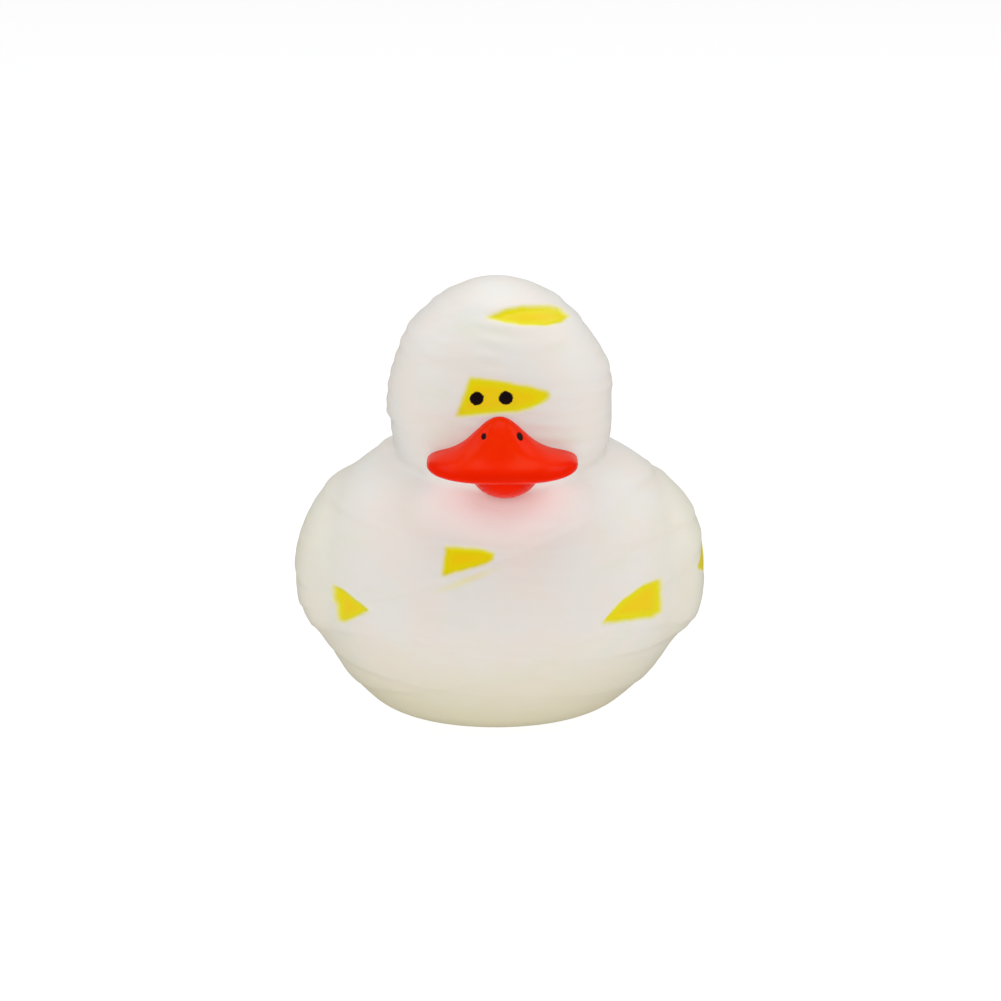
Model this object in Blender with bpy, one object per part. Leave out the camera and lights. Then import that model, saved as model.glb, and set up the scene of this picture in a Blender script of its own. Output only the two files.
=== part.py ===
"""Rubber duck of the two inch size, wrapped in bandages.

A hollow soft vinyl casting, with head, bill, wings, tail and the low relief of the wraps in one
piece, and the hard plastic squeaker that is pressed into the hole of its flat base.
Metres, +Z up. The bill faces -Y, and the origin is the centre of the base.
"""

import math

import bmesh
import bpy
import numpy as np

# Head: a ball with full cheeks, set forward on the body, whose crown leans a little to -X
HEAD_Y = -0.0050
HEAD_Z = 0.0379
HEAD_HALF_WIDTH = 0.0124
HEAD_HALF_LENGTH = 0.0124
HEAD_ABOVE = 0.0127
HEAD_BELOW = 0.0115
CROWN_POWER = 1.8
CHEEK_POWER = 3.2
CROWN_LEAN = 0.035

# Body: an egg cut flat at the base, whose underside leans a little to -X
BODY_Y = -0.0003
BODY_Z = 0.0160
BODY_HALF_WIDTH = 0.0220
BODY_FRONT = 0.0205
BODY_BACK = 0.0212
BODY_ABOVE = 0.0180
BODY_BELOW = 0.0200
BACK_POWER = 2
BELLY_POWER = 1.8
BELLY_LEAN = 0.055
BELLY_LEAN_Z = 0.0100
BASE_EDGE_RADIUS = 0.0018

# Tail: a tapering lobe that turns up behind the back
TAIL_ROOT_Y = 0.0120
TAIL_ROOT_Z = 0.0185
TAIL_ROOT_RADIUS = 0.0090
TAIL_TIP_Y = 0.0208
TAIL_TIP_Z = 0.0246
TAIL_TIP_RADIUS = 0.0031
TAIL_BLEND = 0.0040

# Wings: a flat pad folded on each flank, with its tip raised towards the tail
WING_X = 0.0182
WING_Y = 0.0020
WING_Z = 0.0179
WING_HALF_THICKNESS = 0.0041
WING_HALF_LENGTH = 0.0115
WING_HALF_HEIGHT = 0.0070
WING_TILT = math.radians(18)
WING_TOE_IN = math.radians(12)
WING_BLEND = 0.0012

# Neck: the height on the axis that the crease is drawn from, and how far the crease is filled
NECK_Z = 0.0290
NECK_BLEND = 0.0008

# How steeply the rings of the skin rise towards the tail
TAIL_RISE = 0.22

# Bill: a broad upper half with a raised ridge between the nostrils, over a narrow lower half
BILL_X = 0.0002
BILL_ROOT_Y = -0.0150
BILL_RIM_Z = 0.0316
BILL_HALF_WIDTH = 0.0083
BILL_REACH = 0.0088
BILL_ABOVE = 0.0019
BILL_BELOW = 0.0011
BILL_PLAN_POWER = 2.5
BILL_LIP_POWER = 4
RIDGE_X = -0.0001
RIDGE_HEIGHT = 0.0038
RIDGE_HALF_WIDTH = 0.0025
RIDGE_POWER = 2.1
RIDGE_TOP_Y = -0.0176
JAW_X = 0.0005
JAW_HALF_WIDTH = 0.0039
JAW_REACH = 0.0070
JAW_DEPTH = 0.0025
NOSTRIL_SPACING = 0.0039
NOSTRIL_Y = -0.0196
NOSTRIL_RADIUS = 0.0004

# Wraps: each edge is where a tilted plane meets the skin, given by its height on the duck's axis
# and its slopes across and backwards. The cloth above an edge stands proud and thins out upwards.
WRAP_THICKNESS = 0.00035
WRAP_EDGE_WIDTH = 0.0009
WRAP_WIDTH = 0.0062
BASE_FADE = 0.0030
HEAD_WRAPS = (
    (0.0473, 0.00, 0.00),
    (0.0446, 0.12, 0.10),
    (0.0426, -0.20, 0.08),
    (0.0358, 0.12, -0.10),
    (0.0338, -0.14, 0.12),
)
BODY_WRAPS = (
    (0.0282, -0.12, -0.10),
    (0.0234, -0.06, 0.05),
    (0.0207, 0.37, -0.05),
    (0.0137, -0.15, 0.17),
    (0.0111, 0.40, 0.16),
    (0.0100, 0.02, -0.12),
    (0.0058, -0.10, 0.05),
)

# Windows between the wraps, down to the bare skin. Each has the azimuth that it faces and its
# outline as seen from there, from 13 degrees above: across to the right, and up, in millimetres.
WINDOW_DEPTH = 0.00035
WINDOW_VIEW_TILT = math.radians(13)
WINDOW_CLEAR = 0.0040
WINDOW_REACH = 0.0025
WINDOWS = {
    "crown": (0, ((-1.4, 43.3), (2.5, 44.6), (6.0, 44.6), (7.4, 43.6), (5.5, 42.6), (2.5, 42.6))),
    "eyes": (0, ((-3.2, 36.5), (3.3, 35.5), (4.9, 34.9), (2.0, 32.9), (-4.7, 32.4))),
    "chest": (0, ((-6.1, 18.2), (-1.8, 17.9), (-0.6, 17.0), (-6.2, 15.1))),
    "left_flank": (0, ((-18.7, 13.6), (-14.9, 11.1), (-16.4, 9.9), (-18.3, 9.8))),
    "right_flank": (0, ((17.5, 14.3), (17.7, 11.0), (16.8, 10.3), (11.4, 9.7))),
    "right_wing": (80, ((-3.2, 12.2), (3.6, 14.9), (2.6, 9.8))),
    "nape": (180, ((-5.8, 42.0), (3.4, 40.4), (-4.6, 38.2))),
    "rump": (150, ((-4.6, 21.6), (3.6, 18.4), (-3.0, 17.6))),
}

# Hollow: the casting's wall, and its thicker floor that grips the squeaker
WALL = 0.0019
BASE_WALL = 0.0030

# Squeaker: a turned insert with a flange below the floor and a barb above it
SQUEAKER_NECK_RADIUS = 0.0042
SQUEAKER_FLANGE_RADIUS = 0.0056
SQUEAKER_FLANGE_THICKNESS = 0.0008
SQUEAKER_BARB_RADIUS = 0.0051
SQUEAKER_BARB_HEIGHT = 0.0034
SQUEAKER_CHAMBER_RADIUS = 0.0024
SQUEAKER_AIR_HOLE_RADIUS = 0.0008
SQUEAKER_FACE_THICKNESS = 0.0012
SQUEAKER_INSET = 0.0003
SEAT_CLEARANCE = 0.0003

# Facets
SKIN_STEPS_ROUND = 72
HOLLOW_STEPS_ROUND = 36
ROUND_STEPS = 32
RING_SPACING = 0.00115
CROWN_RINGS = 13
BILL_RINGS = 7
BILL_STEPS_ROUND = 40

FIELD_REACH = 0.045
MM = 0.001

VINYL_WHITE = "#E9E3DA"
BILL_RED = "#EE2A0C"
WINDOW_YELLOW = "#E6CC1C"
NOSTRIL_BLACK = "#1A0A0C"
SQUEAKER_WHITE = "#E4E4DE"


def material(name, hex_colour, roughness):
    """A Principled material from an sRGB colour."""
    made = bpy.data.materials.new(name)
    made.use_nodes = True
    shader = made.node_tree.nodes["Principled BSDF"]
    coded = [int(hex_colour[i : i + 2], 16) / 255 for i in (1, 3, 5)]
    linear = [c / 12.92 if c <= 0.04045 else ((c + 0.055) / 1.055) ** 2.4 for c in coded]
    shader.inputs["Base Color"].default_value = (*linear, 1)
    shader.inputs["Roughness"].default_value = roughness
    shader.inputs["Metallic"].default_value = 0
    return made


def smooth_step(value):
    """0 below 0, 1 above 1, and an even curve between."""
    share = np.clip(value, 0, 1)
    return share * share * (3 - 2 * share)


def smooth_union(a, b, width):
    """The lesser of two distances, with the crease between them filled over a width."""
    share = np.clip(0.5 + 0.5 * (b - a) / width, 0, 1)
    return b + (a - b) * share - width * share * (1 - share)


def egg_distance(q, half_width, front, back, above, below, power_above, power_below):
    """How far q is outside an egg round the origin, along the line from its centre."""
    x, y, z = q[..., 0], q[..., 1], q[..., 2]
    across = np.hypot(x / half_width, y / np.where(y < 0, front, back))
    power = np.where(z > 0, power_above, power_below)
    height = np.abs(z) / np.where(z > 0, above, below)
    share = np.maximum((across**power + height**power) ** (1 / power), 1e-9)
    size = np.linalg.norm(q, axis=-1)
    return size - size / share


def crown_shift(z):
    """How far the head's axis has moved to -X at a height."""
    return -CROWN_LEAN * np.maximum(z - HEAD_Z, 0)


def head_distance(p):
    q = p - np.stack(
        [crown_shift(p[..., 2]), np.full(p.shape[:-1], HEAD_Y), np.full(p.shape[:-1], HEAD_Z)], -1
    )
    length = HEAD_HALF_LENGTH
    return egg_distance(
        q, HEAD_HALF_WIDTH, length, length, HEAD_ABOVE, HEAD_BELOW, CROWN_POWER, CHEEK_POWER
    )


def tail_distance(p):
    """A round cone from the root of the tail to its tip."""
    root = np.array([0, TAIL_ROOT_Y, TAIL_ROOT_Z])
    along = np.array([0, TAIL_TIP_Y, TAIL_TIP_Z]) - root
    share = np.clip((p - root) @ along / (along @ along), 0, 1)
    radius = TAIL_ROOT_RADIUS + (TAIL_TIP_RADIUS - TAIL_ROOT_RADIUS) * share
    return np.linalg.norm(p - root - share[..., None] * along, axis=-1) - radius


def wing_distance(p):
    """Both wings at once, since the duck's two sides mirror each other."""
    out, back = np.abs(p[..., 0]) - WING_X, p[..., 1] - WING_Y
    x = out * math.cos(WING_TOE_IN) + back * math.sin(WING_TOE_IN)
    y = back * math.cos(WING_TOE_IN) - out * math.sin(WING_TOE_IN)
    z = p[..., 2] - WING_Z
    along = y * math.cos(WING_TILT) + z * math.sin(WING_TILT)
    up = z * math.cos(WING_TILT) - y * math.sin(WING_TILT)
    return egg_distance(
        np.stack([x, along, up], -1),
        WING_HALF_THICKNESS,
        WING_HALF_LENGTH,
        WING_HALF_LENGTH,
        WING_HALF_HEIGHT,
        WING_HALF_HEIGHT,
        2,
        2,
    )


def belly_shift(z):
    """How far the belly's axis has moved to -X at a height."""
    return -BELLY_LEAN * np.maximum(BELLY_LEAN_Z - z, 0)


def body_distance(p):
    q = p - np.array([0, BODY_Y, BODY_Z])
    egg = egg_distance(
        np.stack([q[..., 0] - belly_shift(p[..., 2]), q[..., 1], q[..., 2]], -1),
        BODY_HALF_WIDTH,
        BODY_FRONT,
        BODY_BACK,
        BODY_ABOVE,
        BODY_BELOW,
        BACK_POWER,
        BELLY_POWER,
    )
    with_tail = smooth_union(egg, tail_distance(p), TAIL_BLEND)
    return smooth_union(with_tail, wing_distance(p), WING_BLEND)


def skin_distance(p):
    """How far p is outside the duck's smooth skin, without wraps and bill."""
    return smooth_union(body_distance(p), head_distance(p), NECK_BLEND)


def wrap_relief(p):
    """How far the wraps stand proud of the smooth skin at p."""
    on_head = smooth_step(0.5 + (body_distance(p) - head_distance(p)) / WRAP_EDGE_WIDTH)
    clear_of_base = smooth_step((p[..., 2] - BASE_EDGE_RADIUS) / BASE_FADE)
    total = np.zeros(p.shape[:-1])
    for wraps, share in ((HEAD_WRAPS, on_head), (BODY_WRAPS, 1 - on_head)):
        for height, across, back in wraps:
            above = p[..., 2] - height - across * p[..., 0] - back * p[..., 1]
            edge = smooth_step(above / WRAP_EDGE_WIDTH)
            total += share * edge * (1 - smooth_step(above / WRAP_WIDTH))
    return WRAP_THICKNESS * clear_of_base * total


def axis_at(z):
    """The point at a height from which the skin's ring there is drawn."""
    lean = smooth_step((z - BODY_Z) / (HEAD_Z - BODY_Z))
    return np.stack([crown_shift(z), HEAD_Y * lean, z], -1)


def outermost(start, direction, distance):
    """How far the surface where a distance is 0 lies from start, by halving."""
    low = np.zeros(np.broadcast_shapes(start.shape, direction.shape)[:-1])
    high = np.full(low.shape, FIELD_REACH)
    for _ in range(36):
        middle = (low + high) / 2
        value = distance(start + middle[..., None] * direction)
        low = np.where(value < 0, middle, low)
        high = np.where(value < 0, high, middle)
    return low


def crease_slopes(outward):
    """The slope at which each ray from the neck meets the crease between the head and the body."""
    start = axis_at(np.array(NECK_Z))
    low = np.full(outward.shape[:-1], -1.0)
    high = np.full(outward.shape[:-1], 1.0)
    for _ in range(24):
        middle = (low + high) / 2
        ray = outward + middle[..., None] * np.array([0, 0, 1])
        ahead = outermost(start, ray, head_distance) > outermost(start, ray, body_distance)
        high = np.where(ahead, middle, high)
        low = np.where(ahead, low, middle)
    return low


def skin_rings(floor, depth, wrapped, edge_radius, steps, spacing):
    """Rings of the surface a depth below the skin, from the floor up, and its crown point.

    Each ring's rays leave the axis level at the floor and the crown. Between them they slope so
    that one ring lies along the neck's crease, and those at the back rise into the tail.
    """

    def surface(p):
        return skin_distance(p) + depth - (wrap_relief(p) if wrapped else 0)

    up = np.array([0.0, 0.0, 1.0])
    top = HEAD_Z + outermost(axis_at(np.array(HEAD_Z)), up, surface)
    turns = np.linspace(0, math.pi / 2, 4)[:-1]
    edge = floor + edge_radius * (1 - np.cos(turns))
    below = np.linspace(
        floor + edge_radius, NECK_Z, round((NECK_Z - floor - edge_radius) / spacing) + 1
    )
    above = np.linspace(NECK_Z, HEAD_Z, round((HEAD_Z - NECK_Z) / spacing) + 1)[1:]
    rings_above = max(round(CROWN_RINGS * RING_SPACING / spacing), 6)
    crown = HEAD_Z + (top - HEAD_Z) * np.sin(np.linspace(0, math.pi / 2, rings_above + 1))[1:-1]
    z = np.concatenate([edge, below, above, crown])
    angle = np.arange(steps) * 2 * math.pi / steps
    outward = np.stack([np.sin(angle), -np.cos(angle), np.zeros(steps)], -1)
    share = np.where(z < NECK_Z, (z - floor) / (NECK_Z - floor), (top - z) / (top - NECK_Z))
    share = smooth_step(share)[:, None]
    behind = np.clip(-np.cos(angle), 0, 1) ** 2
    rise = TAIL_RISE * np.sin(math.pi * np.clip((z - floor) / (NECK_Z - floor), 0, 1)) ** 2
    slope = share * crease_slopes(outward) + rise[:, None] * behind
    rays = outward + slope[..., None] * up
    centre = axis_at(z)[:, None]
    radius = outermost(centre, rays, surface)
    cut = np.clip(edge_radius - (z - floor), 0, None)
    radius -= (edge_radius - np.sqrt(edge_radius**2 - cut**2))[:, None]
    return centre + radius[..., None] * rays, np.array([*axis_at(np.array(top))[:2], top])


def new_object(name, mesh_data, surface):
    mesh = bpy.data.meshes.new(name)
    bmesh.ops.recalc_face_normals(mesh_data, faces=mesh_data.faces)
    mesh_data.to_mesh(mesh)
    mesh_data.free()
    mesh.materials.append(surface)
    mesh.shade_smooth()
    mesh.set_sharp_from_angle(angle=math.radians(40))
    made = bpy.data.objects.new(name, mesh)
    bpy.context.scene.collection.objects.link(made)
    return made


def helper(made):
    """Marks an object that only shapes others."""
    made.hide_render = True
    made.display_type = "WIRE"
    return made


def add_loft(data, rings):
    """Joins each ring of vertices to the next, and returns all the rings."""
    rows = [[data.verts.new(point) for point in ring] for ring in rings]
    for low, high in zip(rows, rows[1:]):
        for i in range(len(low)):
            data.faces.new((low[i - 1], low[i], high[i], high[i - 1]))
    return rows


def lofted_skin(name, surface, floor, depth, wrapped, edge_radius, steps, spacing):
    """A closed body inside one level of the skin: flat floor, ring loft and crown point."""
    rings, top = skin_rings(floor, depth, wrapped, edge_radius, steps, spacing)
    data = bmesh.new()
    rows = add_loft(data, rings)
    data.faces.new(rows[0])
    crown = data.verts.new(top)
    for i in range(steps):
        data.faces.new((rows[-1][i - 1], rows[-1][i], crown))
    return new_object(name, data, surface)


def ridge(x, y):
    """The height of the bill's ridge: a bell across, rising from the tip to the face."""
    tip = BILL_ROOT_Y - BILL_REACH
    rise = smooth_step((y - tip) / (RIDGE_TOP_Y - tip))
    aside = np.abs(x - RIDGE_X) / RIDGE_HALF_WIDTH
    return RIDGE_HEIGHT * rise * np.exp(-(aside**RIDGE_POWER) / 2)


def bill_rings(middle, rim_z, half_width, reach, above, below, plan_power, lip_power, with_ridge):
    """Rings of a rounded plate, from the middle of its underside round its rim to its top."""
    angle = np.arange(BILL_STEPS_ROUND) * 2 * math.pi / BILL_STEPS_ROUND
    across, ahead = np.sin(angle), np.cos(angle)
    squared = (np.abs(across) ** plan_power + np.abs(ahead) ** plan_power) ** (-1 / plan_power)
    shares = np.sin(np.linspace(0, math.pi / 2, BILL_RINGS + 1)[1:])
    rings = []
    for side, thickness, row in ((-1, below, shares), (1, above, shares[-2::-1])):
        for share in row:
            x = middle + half_width * share * squared * across
            y = BILL_ROOT_Y - reach * share * squared * ahead
            fullness = math.sqrt(1 - share**lip_power)
            lift = ridge(x, y) * fullness if with_ridge and side > 0 else np.zeros(len(x))
            rings.append(np.stack([x, y, rim_z + side * thickness * fullness + lift], -1))
    return rings


def bill_half(name, surface, *shape):
    data = bmesh.new()
    rows = add_loft(data, bill_rings(*shape))
    data.faces.new(rows[0])
    data.faces.new(rows[-1])
    return helper(new_object(name, data, surface))


def seen_from(azimuth, across, up, depth):
    """The point at a place in the view from an azimuth, 13 degrees above, at a depth away."""
    turn = math.radians(azimuth)
    right = np.array([math.cos(turn), math.sin(turn), 0])
    away = np.array([-math.sin(turn), math.cos(turn), 0])
    tilt = WINDOW_VIEW_TILT
    level, upright = np.array([0, 0, math.cos(tilt)]), away * math.sin(tilt)
    forward = away * math.cos(tilt) - np.array([0, 0, math.sin(tilt)])
    return right * across + (level + upright) * up + forward * depth


def window_prisms(surface):
    """A prism for each window, through the skin there and no deeper."""
    data = bmesh.new()
    for azimuth, outline in WINDOWS.values():
        outside = seen_from(azimuth, 0, 0, -FIELD_REACH)
        inwards = -outside / FIELD_REACH
        corners = np.array([seen_from(azimuth, a * MM, u * MM, 0) for a, u in outline])
        behind = outermost(corners, -inwards, skin_distance)[:, None]
        near = corners - (behind + WINDOW_CLEAR) * inwards
        far = corners - (behind - WINDOW_REACH) * inwards
        rows = add_loft(data, (near, far))
        data.faces.new(rows[0])
        data.faces.new(rows[1])
    bmesh.ops.triangulate(data, faces=data.faces)
    return helper(new_object("window_prisms", data, surface))


def nostril_tools(surface):
    """Two small balls that sink the nostrils into the bill's ridge."""
    data = bmesh.new()
    for side in (-1, 1):
        made = bmesh.ops.create_uvsphere(data, u_segments=12, v_segments=8, radius=NOSTRIL_RADIUS)
        x = BILL_X + side * NOSTRIL_SPACING / 2
        y = NOSTRIL_Y
        across, ahead = (x - BILL_X) / BILL_HALF_WIDTH, (BILL_ROOT_Y - y) / BILL_REACH
        share = (abs(across) ** BILL_PLAN_POWER + ahead**BILL_PLAN_POWER) ** (1 / BILL_PLAN_POWER)
        z = BILL_RIM_Z + (BILL_ABOVE + ridge(x, y)) * math.sqrt(1 - share**BILL_LIP_POWER)
        bmesh.ops.translate(data, verts=made["verts"], vec=(x, y, z))
    return helper(new_object("nostril_tools", data, surface))


def cylinder_tool(name, surface, radius, low, high):
    data = bmesh.new()
    bmesh.ops.create_cone(
        data,
        cap_ends=True,
        segments=ROUND_STEPS,
        radius1=radius,
        radius2=radius,
        depth=high - low,
    )
    bmesh.ops.translate(data, verts=data.verts, vec=(0, 0, (low + high) / 2))
    return helper(new_object(name, data, surface))


def boolean(target, tool, operation):
    """A Boolean modifier that keeps the paint of the piece each face comes from."""
    step = target.modifiers.new(tool.name, "BOOLEAN")
    step.operation = operation
    step.object = tool
    step.material_mode = "TRANSFER"
    return step


def make_body(white, red, yellow, black):
    body = lofted_skin(
        "duck_body", white, 0, 0, True, BASE_EDGE_RADIUS, SKIN_STEPS_ROUND, RING_SPACING
    )
    core = helper(
        lofted_skin(
            "bare_skin",
            yellow,
            BASE_WALL,
            WINDOW_DEPTH,
            False,
            BASE_EDGE_RADIUS,
            SKIN_STEPS_ROUND,
            RING_SPACING,
        )
    )
    hollow = helper(
        lofted_skin(
            "hollow",
            white,
            BASE_WALL,
            WALL,
            False,
            BASE_EDGE_RADIUS,
            HOLLOW_STEPS_ROUND,
            2 * RING_SPACING,
        )
    )
    windows = window_prisms(yellow)
    boolean(windows, core, "DIFFERENCE")
    upper = (
        BILL_X,
        BILL_RIM_Z,
        BILL_HALF_WIDTH,
        BILL_REACH,
        BILL_ABOVE,
        BILL_BELOW,
        BILL_PLAN_POWER,
        BILL_LIP_POWER,
        True,
    )
    tucked = BILL_BELOW / 2
    lower = (
        JAW_X,
        BILL_RIM_Z - tucked,
        JAW_HALF_WIDTH,
        JAW_REACH,
        tucked / 2,
        JAW_DEPTH + tucked,
        2,
        2,
        False,
    )
    seat_radius = SQUEAKER_FLANGE_RADIUS + SEAT_CLEARANCE
    seat_top = SQUEAKER_INSET + SQUEAKER_FLANGE_THICKNESS + SEAT_CLEARANCE
    hole_radius = SQUEAKER_NECK_RADIUS + SEAT_CLEARANCE
    boolean(body, windows, "DIFFERENCE")
    boolean(body, bill_half("upper_bill", red, *upper), "UNION")
    boolean(body, bill_half("lower_bill", red, *lower), "UNION")
    boolean(body, nostril_tools(black), "DIFFERENCE")
    boolean(body, hollow, "DIFFERENCE")
    boolean(body, cylinder_tool("base_hole", white, hole_radius, -WALL, BASE_WALL + WALL), "DIFFERENCE")
    boolean(body, cylinder_tool("flange_seat", white, seat_radius, -WALL, seat_top), "DIFFERENCE")
    return body


def make_squeaker(surface):
    """A ring profile turned about the axis: flange, neck through the floor, barb and chamber."""
    low = SQUEAKER_INSET
    flange_top = low + SQUEAKER_FLANGE_THICKNESS
    barb = BASE_WALL + SEAT_CLEARANCE
    top = barb + SQUEAKER_BARB_HEIGHT
    profile = (
        (SQUEAKER_AIR_HOLE_RADIUS, low),
        (SQUEAKER_FLANGE_RADIUS, low),
        (SQUEAKER_FLANGE_RADIUS, flange_top),
        (SQUEAKER_NECK_RADIUS, flange_top),
        (SQUEAKER_NECK_RADIUS, barb),
        (SQUEAKER_BARB_RADIUS, barb),
        (SQUEAKER_NECK_RADIUS, top),
        (SQUEAKER_CHAMBER_RADIUS, top),
        (SQUEAKER_CHAMBER_RADIUS, low + SQUEAKER_FACE_THICKNESS),
        (SQUEAKER_AIR_HOLE_RADIUS, low + SQUEAKER_FACE_THICKNESS),
    )
    data = bmesh.new()
    corners = [data.verts.new((radius, 0, z)) for radius, z in profile]
    edges = [data.edges.new((corners[i - 1], corners[i])) for i in range(len(corners))]
    bmesh.ops.spin(
        data,
        geom=corners + edges,
        cent=(0, 0, 0),
        axis=(0, 0, 1),
        angle=2 * math.pi,
        steps=ROUND_STEPS,
        use_merge=True,
    )
    return new_object("squeaker", data, surface)


def main():
    for old in list(bpy.data.objects):
        bpy.data.objects.remove(old, do_unlink=True)
    white = material("soft_vinyl_white", VINYL_WHITE, 0.42)
    red = material("bill_paint_red", BILL_RED, 0.25)
    yellow = material("skin_paint_yellow", WINDOW_YELLOW, 0.35)
    black = material("nostril_paint_black", NOSTRIL_BLACK, 0.3)
    make_body(white, red, yellow, black)
    make_squeaker(material("squeaker_plastic", SQUEAKER_WHITE, 0.3))


main()
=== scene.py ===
"""The looks of the bandage-wrapped rubber duck: its fine skin, bill, paint, squeaker, light and camera.

Metres, +Z up, the bill faces -Y. The skin is where a smooth union of eggs and a round cone is zero,
as in the solid, found along rays on a finer grid, so that the laps of the wraps and the bare windows
between them have crisp edges.
"""

import math

import bpy
import numpy as np
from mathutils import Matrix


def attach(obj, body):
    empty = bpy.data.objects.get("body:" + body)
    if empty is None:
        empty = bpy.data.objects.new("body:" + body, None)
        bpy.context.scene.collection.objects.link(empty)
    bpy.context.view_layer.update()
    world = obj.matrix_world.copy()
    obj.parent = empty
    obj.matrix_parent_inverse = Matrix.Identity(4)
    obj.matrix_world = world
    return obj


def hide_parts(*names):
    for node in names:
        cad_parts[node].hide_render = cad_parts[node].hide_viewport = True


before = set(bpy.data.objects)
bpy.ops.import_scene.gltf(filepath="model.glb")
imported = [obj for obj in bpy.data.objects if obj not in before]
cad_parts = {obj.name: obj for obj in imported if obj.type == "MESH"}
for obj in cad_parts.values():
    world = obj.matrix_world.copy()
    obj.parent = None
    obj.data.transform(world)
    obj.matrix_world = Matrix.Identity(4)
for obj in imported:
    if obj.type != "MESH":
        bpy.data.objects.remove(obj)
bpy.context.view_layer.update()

MM = 0.001
UP = np.array([0.0, 0.0, 1.0])

# Head: a ball with full cheeks, set forward on the body, whose crown leans a little to -X
HEAD_Y = -0.0050
HEAD_Z = 0.0379
HEAD_HALF_WIDTH = 0.0124
HEAD_HALF_LENGTH = 0.0124
HEAD_ABOVE = 0.0127
HEAD_BELOW = 0.0115
CROWN_POWER = 1.8
CHEEK_POWER = 3.2
CROWN_LEAN = 0.035

# Body: an egg lying on its fuller lower side, cut flat at the base
BODY_Y = -0.0003
BODY_Z = 0.0160
BODY_HALF_WIDTH = 0.0220
BODY_FRONT = 0.0205
BODY_BACK = 0.0212
BODY_ABOVE = 0.0180
BODY_BELOW = 0.0200
BACK_POWER = 2
BELLY_POWER = 1.8
BELLY_LEAN = 0.055
BELLY_LEAN_Z = 0.0100
BASE_EDGE_RADIUS = 0.0018

# Tail
TAIL_ROOT = np.array([0, 0.0120, 0.0185])
TAIL_ROOT_RADIUS = 0.0090
TAIL_TIP = np.array([0, 0.0208, 0.0246])
TAIL_TIP_RADIUS = 0.0031
TAIL_BLEND = 0.0040
TAIL_RISE = 0.22

# Wings
WING_X = 0.0182
WING_Y = 0.0020
WING_Z = 0.0179
WING_HALF = (0.0041, 0.0115, 0.0070)
WING_TILT = math.radians(18)
WING_TOE_IN = math.radians(12)
WING_BLEND = 0.0032

# Neck
NECK_Z = 0.0290
NECK_BLEND = 0.0008

# Bill
BILL_X = 0.0002
BILL_ROOT_Y = -0.0150
BILL_RIM_Z = 0.0316
BILL_HALF_WIDTH = 0.0083
BILL_REACH = 0.0088
BILL_ABOVE = 0.0019
BILL_BELOW = 0.0011
BILL_PLAN_POWER = 2.5
BILL_LIP_POWER = 4
RIDGE_X = -0.0001
RIDGE_HEIGHT = 0.0038
RIDGE_HALF_WIDTH = 0.0025
RIDGE_POWER = 2.1
RIDGE_TOP_Y = -0.0176
JAW_X = 0.0005
JAW_HALF_WIDTH = 0.0039
JAW_REACH = 0.0070
JAW_DEPTH = 0.0025
JAW_POWER = 2

# Wraps: the height of each lower edge on the duck's axis, and its slopes across and backwards
WRAP_THICKNESS = 0.00022
WRAP_EDGE_WIDTH = 0.0007
WRAP_WIDTH = 0.0062
BASE_FADE = 0.0030
FRONT_RELIEF_SHARE = 0.35
HEAD_WRAPS = (
    (0.0473, 0.00, 0.00),
    (0.0446, 0.12, 0.10),
    (0.0426, -0.20, 0.08),
    (0.0358, 0.12, -0.10),
    (0.0338, -0.14, 0.12),
)
BODY_WRAPS = (
    (0.0282, -0.12, -0.10),
    (0.0234, -0.06, 0.05),
    (0.0207, 0.37, -0.05),
    (0.0137, -0.15, 0.17),
    (0.0111, 0.40, 0.16),
    (0.0100, 0.02, -0.12),
    (0.0058, -0.10, 0.05),
)

# Fine folds that run along the wraps, mostly on the head: a ripple of the height, whose phase
# wanders round the duck, and the size of the patches in which it shows
FOLD_HEIGHT = 0.00005
FOLD_SHARE_ON_BODY = 0.35
FOLD_PITCH = 0.0016
FOLD_TILT = 0.10
FOLD_WANDER = 1.3
FOLD_WANDER_LEVEL = 0.0045
FOLD_WANDER_RISE = 0.006
FOLD_WANDER_ASIDE = 0.009
FOLD_PATCH_WANDER = 2.0
FOLD_PATCH_WIDTH = 0.0031
FOLD_PATCH_LENGTH = 0.005
FOLD_PATCH_HEIGHT = 0.0042

# Windows between the wraps: the azimuth that each faces, and its corners as seen from there, from
# 13 degrees above, across to the right and up in millimetres
VIEW_TILT = math.radians(13)
WINDOW_DEPTH = 0.00018
WINDOW_EDGE_WIDTH = 0.00040
WINDOWS = (
    (
        0,
        (
            (-1.4, 43.3),
            (0.5, 44.1),
            (2.5, 44.5),
            (5.2, 44.6),
            (6.5, 44.4),
            (7.4, 43.6),
            (6.6, 42.9),
            (5.0, 42.5),
            (2.5, 42.5),
            (0.5, 42.8),
        ),
    ),
    (
        0,
        (
            (-3.3, 36.6),
            (-1.4, 36.4),
            (3.2, 35.6),
            (5.0, 35.1),
            (5.35, 34.7),
            (4.9, 34.2),
            (3.6, 33.5),
            (2.0, 33.0),
            (-4.7, 32.5),
        ),
    ),
    (0, ((-5.9, 18.2), (-1.8, 17.9), (-0.8, 17.4), (-0.9, 16.9), (-1.8, 16.4), (-6.3, 15.1))),
    (0, ((-18.4, 13.8), (-17.3, 13.3), (-14.6, 11.2), (-17.2, 9.9), (-17.9, 10.0))),
    (0, ((17.6, 14.5), (17.8, 12.1), (17.7, 11.0), (16.8, 10.4), (11.2, 9.9), (13.3, 12.2), (15.8, 13.9))),
    (80, ((-3.2, 12.2), (3.6, 14.9), (2.6, 9.8))),
    (180, ((-5.8, 42.0), (3.4, 40.4), (-4.6, 38.2))),
    (150, ((-4.6, 21.6), (3.6, 18.4), (-3.0, 17.6))),
)

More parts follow.
